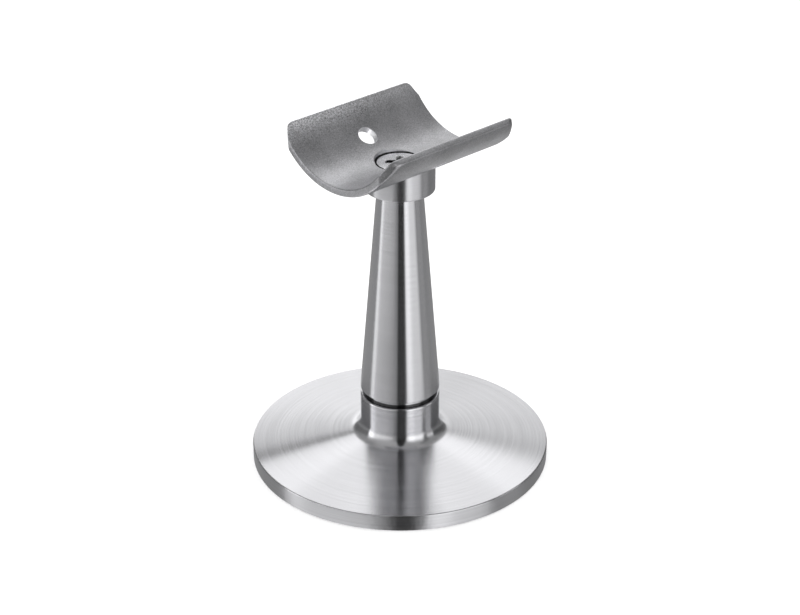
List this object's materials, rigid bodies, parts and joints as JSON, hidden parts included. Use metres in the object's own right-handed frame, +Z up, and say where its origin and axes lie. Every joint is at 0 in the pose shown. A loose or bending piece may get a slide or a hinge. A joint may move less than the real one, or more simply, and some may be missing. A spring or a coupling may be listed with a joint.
{
  "type": "railing saddle post",
  "caption": "Turned stainless post on a round foot, with a bent saddle plate that cradles a round handrail tube.",
  "frame": {"origin": "centre of the foot's underside, at the level of the floor", "axes": "+Z up along the post, +X along the tube, +Y across the saddle"},
  "size_m": [0.1, 0.1, 0.1203],
  "materials": {
    "satin_steel_turned": "fine circular satin turning",
    "satin_steel_plate": "matt grained satin",
    "bright_steel_thread": "bright"
  },
  "bodies": {
    "root": {"base_flange": "satin_steel_turned", "joining_stud": "bright_steel_thread", "post": "satin_steel_turned", "collar": "satin_steel_turned", "saddle": "satin_steel_plate", "saddle_screw": "bright_steel_thread"}
  },
  "joints": []
}
